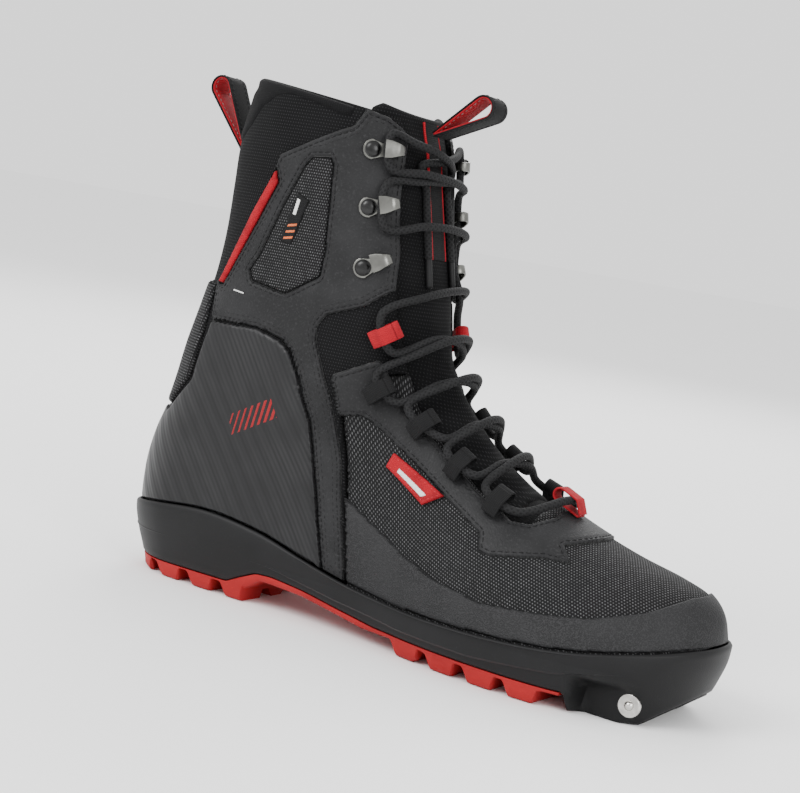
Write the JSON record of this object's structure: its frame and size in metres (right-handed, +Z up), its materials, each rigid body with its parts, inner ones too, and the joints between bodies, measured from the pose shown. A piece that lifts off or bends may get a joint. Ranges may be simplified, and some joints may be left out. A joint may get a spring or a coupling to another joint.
{
  "type": "cross country ski boot",
  "caption": "High laced cross country touring boot, right foot, with a moulded sole frame, treaded outsole, steel toe bar, hooks, lace loops, tongue and two webbing pull loops.",
  "frame": {"origin": "middle of the boot's bounding box, on the plane the tread lugs stand on", "axes": "+X from the heel to the toe, -Y to the outer (lateral) side of the right foot, +Z up"},
  "size_m": [0.316, 0.1058, 0.2587],
  "materials": {
    "film": "matt grained polyurethane film",
    "softshell": "black dotted softshell cloth",
    "mesh": "coarse black woven mesh with grey dots",
    "rand": "matt grained rand",
    "frame": "matt moulded plastic",
    "carbon": "satin plastic with a diagonal fibre pattern",
    "outsole": "matt red rubber",
    "red_webbing": "red woven webbing",
    "black_webbing": "black woven webbing",
    "lace": "black braided cord",
    "lining": "smooth black knit",
    "steel": "turned steel",
    "nickel": "dark nickel plate"
  },
  "bodies": {
    "shell": {"vamp_overlay": "film", "quarter_overlay_lateral": "film", "quarter_overlay_medial": "film", "shaft_softshell": "softshell", "vamp": "mesh", "rear_panel": "mesh", "window_mesh_lateral": "mesh", "window_mesh_medial": "mesh", "toe_rand": "rand", "sole_frame": "frame", "toe_puff": "frame", "aglet_lateral": "frame", "aglet_medial": "frame", "heel_counter": "carbon", "outsole": "outsole", "side_tag": "red_webbing", "piping_lateral": "red_webbing", "piping_medial": "red_webbing", "lace_loop_throat": "red_webbing", "lace_loop_ankle_lateral": "red_webbing", "lace_loop_ankle_medial": "red_webbing", "window_tag": "black_webbing", "heel_loop_tab": "black_webbing", "insole_board": "black_webbing", "lace_loop_lateral_1": "black_webbing", "lace_loop_lateral_2": "black_webbing", "lace_loop_lateral_3": "black_webbing", "lace_loop_lateral_4": "black_webbing", "lace_loop_medial_1": "black_webbing", "lace_loop_medial_2": "black_webbing", "lace_loop_medial_3": "black_webbing", "lace_loop_medial_4": "black_webbing", "lace": "lace", "liner": "lining", "collar_pad": "lining", "footbed": "lining", "toe_bar": "steel", "toe_bar_ferrule_lateral": "steel", "toe_bar_ferrule_medial": "steel", "shank": "steel", "hook_lateral_1": "nickel", "hook_lateral_2": "nickel", "hook_lateral_3": "nickel", "hook_medial_1": "nickel", "hook_medial_2": "nickel", "hook_medial_3": "nickel", "hook_rivet_lateral_1": "nickel", "hook_rivet_lateral_2": "nickel", "hook_rivet_lateral_3": "nickel", "hook_rivet_medial_1": "nickel", "hook_rivet_medial_2": "nickel", "hook_rivet_medial_3": "nickel"},
    "tongue": {"tongue": "lining", "tongue_ribbon": "red_webbing"},
    "tongue_loop": {"tongue_pull_loop": "red_webbing"},
    "heel_loop": {"heel_pull_loop": "red_webbing"}
  },
  "joints": [
    {"name": "tongue_tilt", "type": "hinge", "parent": "shell", "child": "tongue", "pos_m": [0.0621, -0.0031, 0.072], "axis": [0, 1, 0], "range_deg": [-6, 0], "stiffness_Nm_per_rad": 1.5, "springref_deg": 9.74},
    {"name": "tongue_loop_fold", "type": "hinge", "parent": "tongue", "child": "tongue_loop", "pos_m": [-0.0245, -0.0031, 0.2375], "axis": [0, 1, 0], "range_deg": [-30, 20], "stiffness_Nm_per_rad": 0.05},
    {"name": "heel_loop_fold", "type": "hinge", "parent": "shell", "child": "heel_loop", "pos_m": [-0.1325, -0.0031, 0.217], "axis": [0, 1, 0], "range_deg": [-100, 10], "stiffness_Nm_per_rad": 0.05}
  ]
}
